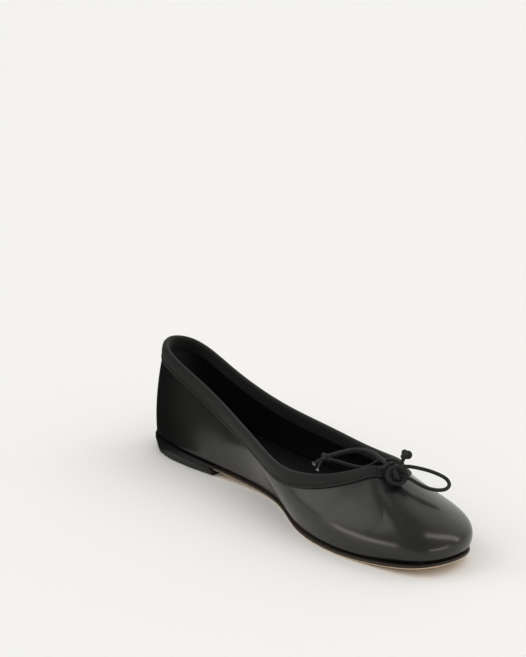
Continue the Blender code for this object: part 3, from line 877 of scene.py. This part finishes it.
KNOT_ARCH = [(1.6, -7.4, 3.2), (1.6, -5.6, 6.2), (5.4, -3.4, 7.0), (8.6, -3.0, 5.6), (9.6, -4.4, 3.2)]
WRAP_CENTRE, WRAP_RADIUS, WRAP_AXIS = (4.6, -6.4, 3.9), 0.0027, (0.90, -0.15, -0.40)
END_LONG = (-27.9, -23.2, 3.1)
END_SHORT = (10.6, -0.6, 10.9)
LONG_KNOT_SIZE, LONG_KNOT_CORD = 0.0025, 0.0009     # radii of the knot and of its cord
SHORT_KNOT_SIZE, SHORT_KNOT_CORD = 0.0033, 0.0013
FRAYED_ENDS = [
    # points of each cut end past the long tail's knot
    [(-27.9, -23.2, 3.1), (-28.7, -25.6, 2.0), (-29.8, -28.0, 0.3)],
    [(-28.0, -24.4, 2.2), (-27.8, -26.6, 0.4), (-26.9, -28.6, -1.6)],
]
RING_WIDE, RING_HIGH = 0.0050, 0.0045
RING_FACES = (0.68, -0.63, 0.37)
# Strands of the knot in millimetres right of, above and ahead of the ring's centre.
KNOT_CORE = [(-1.5, 4.0, -2.4), (-1.2, 2.6, -0.8), (-0.7, 0.6, -0.3), (-0.2, -1.0, -0.6), (0.2, -1.8, -1.8)]
KNOT_STRAND = [(0.6, 4.2, -2.2), (1.8, 3.2, -0.8), (3.6, 1.9, -0.7), (5.0, 0.8, -1.8)]
FILLING_BACK, FILLING_RADIUS = 0.0024, 0.0026
RING_WAVE, WRAP_WAVE = 0.0005, 0.0006   # how far the turns leave their planes
CORD_STEP, SHORT_STEP = 0.00035, 0.0003
THREAD_THICK = 0.00011
THREAD_LENGTHS = (0.0010, 0.0022)
THREAD_LEAN, THREAD_CURL, THREAD_SPREAD = 0.45, 0.0004, 0.00035


def build_bow(wall, cloth):
    """Two drawstring ends: each leaves the binding, goes through the knot, makes its loop and ends
    in a knotted tail. A turn of cord rings the knot."""
    front = wall.ribs[THROAT_SECTION * STATIONS, 0]
    radius = CORD_DIAMETER / 2
    t = np.linspace(0, 2 * math.pi, TURN_POINTS + 1)[:-1, None]

    def at(point):
        return front + np.array(point) / 1000

    def path(rows, step=SHORT_STEP):
        return smooth_path([at(row) for row in rows], step)

    def in_ring(rows):
        return smooth_path([knot + (level * right + rise * up + facing * ahead) / 1000
                            for right, up, ahead in rows], SHORT_STEP)

    def turn(centre, first, second, wide, high):
        return centre + wide * first * np.cos(t) + high * second * np.sin(t)

    knot = at(KNOT)
    facing = unit(np.array(RING_FACES))
    level = unit(np.cross((0, 0, 1.0), facing))
    rise = np.cross(facing, level)
    ring_line = turn(knot, level, rise, RING_WIDE, RING_HIGH) + facing * RING_WAVE * np.sin(2 * t)
    ring = tube("bow_knot_ring", ring_line, radius, cloth, closed=True)
    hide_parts("bow_knot")
    core = tube("bow_knot_core", in_ring(KNOT_CORE), radius * 1.45, cloth)
    strand = tube("bow_knot_strand", in_ring(KNOT_STRAND), radius * 0.95, cloth)
    behind = turn(knot - facing * FILLING_BACK, level, rise, FILLING_RADIUS, FILLING_RADIUS)
    filling = tube("bow_knot_filling", behind, radius * 1.2, cloth, closed=True)
    back = tube("bow_knot_back", path(CORD_EXIT_REAR), radius, cloth)
    axis = unit(np.array(WRAP_AXIS))
    across = unit(np.cross((0, 0, 1.0), axis))
    wrap_line = turn(at(WRAP_CENTRE), across, np.cross(axis, across), WRAP_RADIUS, WRAP_RADIUS)
    wrap = tube("bow_knot_wrap", wrap_line + axis * WRAP_WAVE * np.sin(t), radius, cloth, closed=True)
    arch = tube("bow_knot_arch", path(KNOT_ARCH), radius, cloth)

    line = trefoil(at(END_LONG), LONG_KNOT_SIZE, LONG_KNOT_CORD, (0.5, 0.4))
    knot_long = tube("tail_knot_long_wrap", line, LONG_KNOT_CORD, cloth, 12, True)
    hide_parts("tail_knot_long")
    line = trefoil(at(END_SHORT), SHORT_KNOT_SIZE, SHORT_KNOT_CORD, (0.3, 0.25), (1, 1, 0.7))
    knot_short = tube("tail_knot_short_wrap", line, SHORT_KNOT_CORD, cloth, 12, True)
    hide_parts("tail_knot_short")
    cut_ends = []
    for k, rows in enumerate(FRAYED_ENDS):
        line = path(rows)
        cut_ends.append(tube("tail_end_%d" % (k + 1), line, 0.0008 - 0.0002 * k, cloth, 12))
        cut_ends.append(build_frayed_end("tail_end_threads_%d" % (k + 1), line, 12 - 5 * k))

    for name, rows, nodes, pieces in (
            ("drawstring_front", CORD_FRONT, ["bow_loop_front", "bow_tail_long"],
             [ring, core, strand, filling, wrap, arch, knot_long, *cut_ends]),
            ("drawstring_rear", CORD_REAR, ["bow_loop_rear", "bow_tail_short"],
             [back, knot_short])):
        line = path(rows, CORD_STEP)
        piece = tube(name, line, radius, cloth)
        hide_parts(*nodes)


def build_frayed_end(name, line, strands):
    """A few pale core threads at a cut end of the long tail."""
    rng = np.random.default_rng(4)
    tip, along = line[-1], unit(line[-1] - line[-4])
    verts, faces = [], []
    sides, rings = 4, 6
    for strand in range(strands):
        lean = unit(along + rng.normal(0, THREAD_LEAN, 3))
        curl = rng.normal(0, THREAD_CURL, 3)
        start = tip + rng.normal(0, THREAD_SPREAD, 3)
        long = rng.uniform(*THREAD_LENGTHS)
        side = unit(np.cross(lean, (0.3, 0.2, 0.9)))
        up = np.cross(lean, side)
        base = len(verts)
        for s in np.linspace(0, 1, rings):
            p = start + lean * long * s + curl * s * s
            for a in range(sides):
                turn = 2 * math.pi * a / sides
                around = side * math.cos(turn) + up * math.sin(turn)
                verts.append(p + THREAD_THICK * (1 - 0.5 * s) * around)
        faces += sleeve_faces(base, rings, sides)
    return new_piece(name, verts, faces, thread("core threads", (0.55, 0.55, 0.53)))


def towards(yaw, height):
    """Direction at a yaw from -Y towards +X and a height, both in degrees."""
    yaw, height = math.radians(yaw), math.radians(height)
    return Vector((math.sin(yaw) * math.cos(height), -math.cos(yaw) * math.cos(height), math.sin(height)))


def stand(obj, place, right, up, back):
    """Puts a lamp or camera at a place, with its own three directions."""
    obj.matrix_world = Matrix.Translation(place) @ Matrix((right, up, back)).transposed().to_4x4()


def build_floor():
    mesh = bpy.data.meshes.new("studio_floor")
    corners = [(x * FLOOR_HALF, y * FLOOR_HALF, 0) for x, y in ((-1, -1), (1, -1), (1, 1), (-1, 1))]
    mesh.from_pydata(corners, [], [(0, 1, 2, 3)])
    mesh.materials.append(Look("studio floor", FLOOR_COLOUR, 0.8, {"Specular IOR Level": 0.1}).material)
    add_object("studio_floor", mesh)


def build_shade_card():
    """Dark card beside the heel, upright and on the floor, that only reflections see: it paints shade into
    the reflections on the heel's side.
    """
    mesh = bpy.data.meshes.new("studio_card")
    low = [(x, y, CARD_LOW) for x, y in np.array(CARD) / 1000 + SHIFT[:2]]
    high = [(x, y, CARD_HIGH) for x, y, z in low[:2]]
    mesh.from_pydata(low + high, [], [(0, 1, 2, 3), (0, 1, 5, 4)])
    mesh.materials.append(Look("studio card", (0.01, 0.01, 0.01), 0.9).material)
    card = add_object("studio_card", mesh)
    card.visible_camera = False
    card.visible_diffuse = False
    card.visible_shadow = False


def build_strip(name, first, second, width, brightness):
    """Long narrow lamp between two directions, facing the shoe."""
    ends = [STRIP_DISTANCE * towards(*first), STRIP_DISTANCE * towards(*second)]
    along, place = (ends[1] - ends[0]).normalized(), (ends[0] + ends[1]) / 2
    back = (place - along * place.dot(along)).normalized()
    lamp = bpy.data.lights.new(name, "AREA")
    lamp.shape = "RECTANGLE"
    lamp.size, lamp.size_y = (ends[1] - ends[0]).length, width
    lamp.energy = brightness * math.pi * lamp.size * lamp.size_y
    lamp.color = STRIP_COLOUR
    obj = add_object(name, lamp)
    obj.visible_diffuse = False
    stand(obj, place, along, back.cross(along), back)


def build_sky():
    """Plain dome with soft bright regions, which the camera sees in the floor's colour."""
    world = bpy.data.worlds.new("studio")
    world.use_nodes = True
    tree = world.node_tree
    direction = add_node(tree, "ShaderNodeTexCoord").outputs["Generated"]
    brightness = SKY_PLAIN
    for (yaw, height), low, high, added in SKY_REGIONS:
        cosine = add_node(tree, "ShaderNodeVectorMath", {0: direction, 1: towards(yaw, height)},
                          operation="DOT_PRODUCT")
        rising = add_node(tree, "ShaderNodeMapRange", {"Value": cosine.outputs["Value"], "From Min": low,
                                                       "From Max": high, "To Min": 0.0, "To Max": added},
                          interpolation_type="SMOOTHSTEP")
        total = add_node(tree, "ShaderNodeMath", {0: brightness, 1: rising.outputs["Result"]})
        brightness = total.outputs["Value"]
    around = tree.nodes["Background"]
    feed(tree, around, {"Color": (*SKY_COLOUR, 1), "Strength": brightness})
    backdrop = add_node(tree, "ShaderNodeBackground", {"Color": (*FLOOR_COLOUR, 1)})
    seen = add_node(tree, "ShaderNodeLightPath")
    either = add_node(tree, "ShaderNodeMixShader", {"Fac": seen.outputs["Is Camera Ray"],
                                                    1: around.outputs["Background"],
                                                    2: backdrop.outputs["Background"]})
    feed(tree, tree.nodes["World Output"], {"Surface": either.outputs["Shader"]})
    bpy.context.scene.world = world


def build_sun():
    sun = bpy.data.lights.new("sun", "SUN")
    sun.energy = SUN_STRENGTH
    sun.angle = math.radians(SUN_WIDTH)
    lamp = add_object("sun", sun)
    lamp.rotation_euler = Vector(SUN_TOWARDS).to_track_quat("Z", "Y").to_euler()
    lamp.visible_glossy = False


def build_camera():
    yaw, roll = math.radians(CAMERA_YAW), math.radians(CAMERA_ROLL)
    back = towards(CAMERA_YAW, CAMERA_PITCH)
    right = Vector((math.cos(yaw), math.sin(yaw), 0))
    up = back.cross(right)
    right, up = (right * math.cos(roll) + up * math.sin(roll), up * math.cos(roll) - right * math.sin(roll))
    data = bpy.data.cameras.new("photo_camera")
    data.lens = CAMERA_LENS
    data.sensor_width = 36
    camera = add_object("photo_camera", data)
    stand(camera, Vector(np.array(CAMERA_PLACE) + SHIFT), right, up, back)
    bpy.context.scene.camera = camera


build_floor()
build_sky()
build_sun()
for strip in STRIPS:
    build_strip(*strip)
build_shade_card()
build_camera()
bpy.context.scene.view_settings.view_transform = "Standard"

wall = Wall(STATIONS)
build_bow(wall, cord_cloth())
build_upper(wall)
build_binding(wall)
build_stitches(wall)
build_outsole(STATIONS)
build_insole(STATIONS)
build_heel(STATIONS)
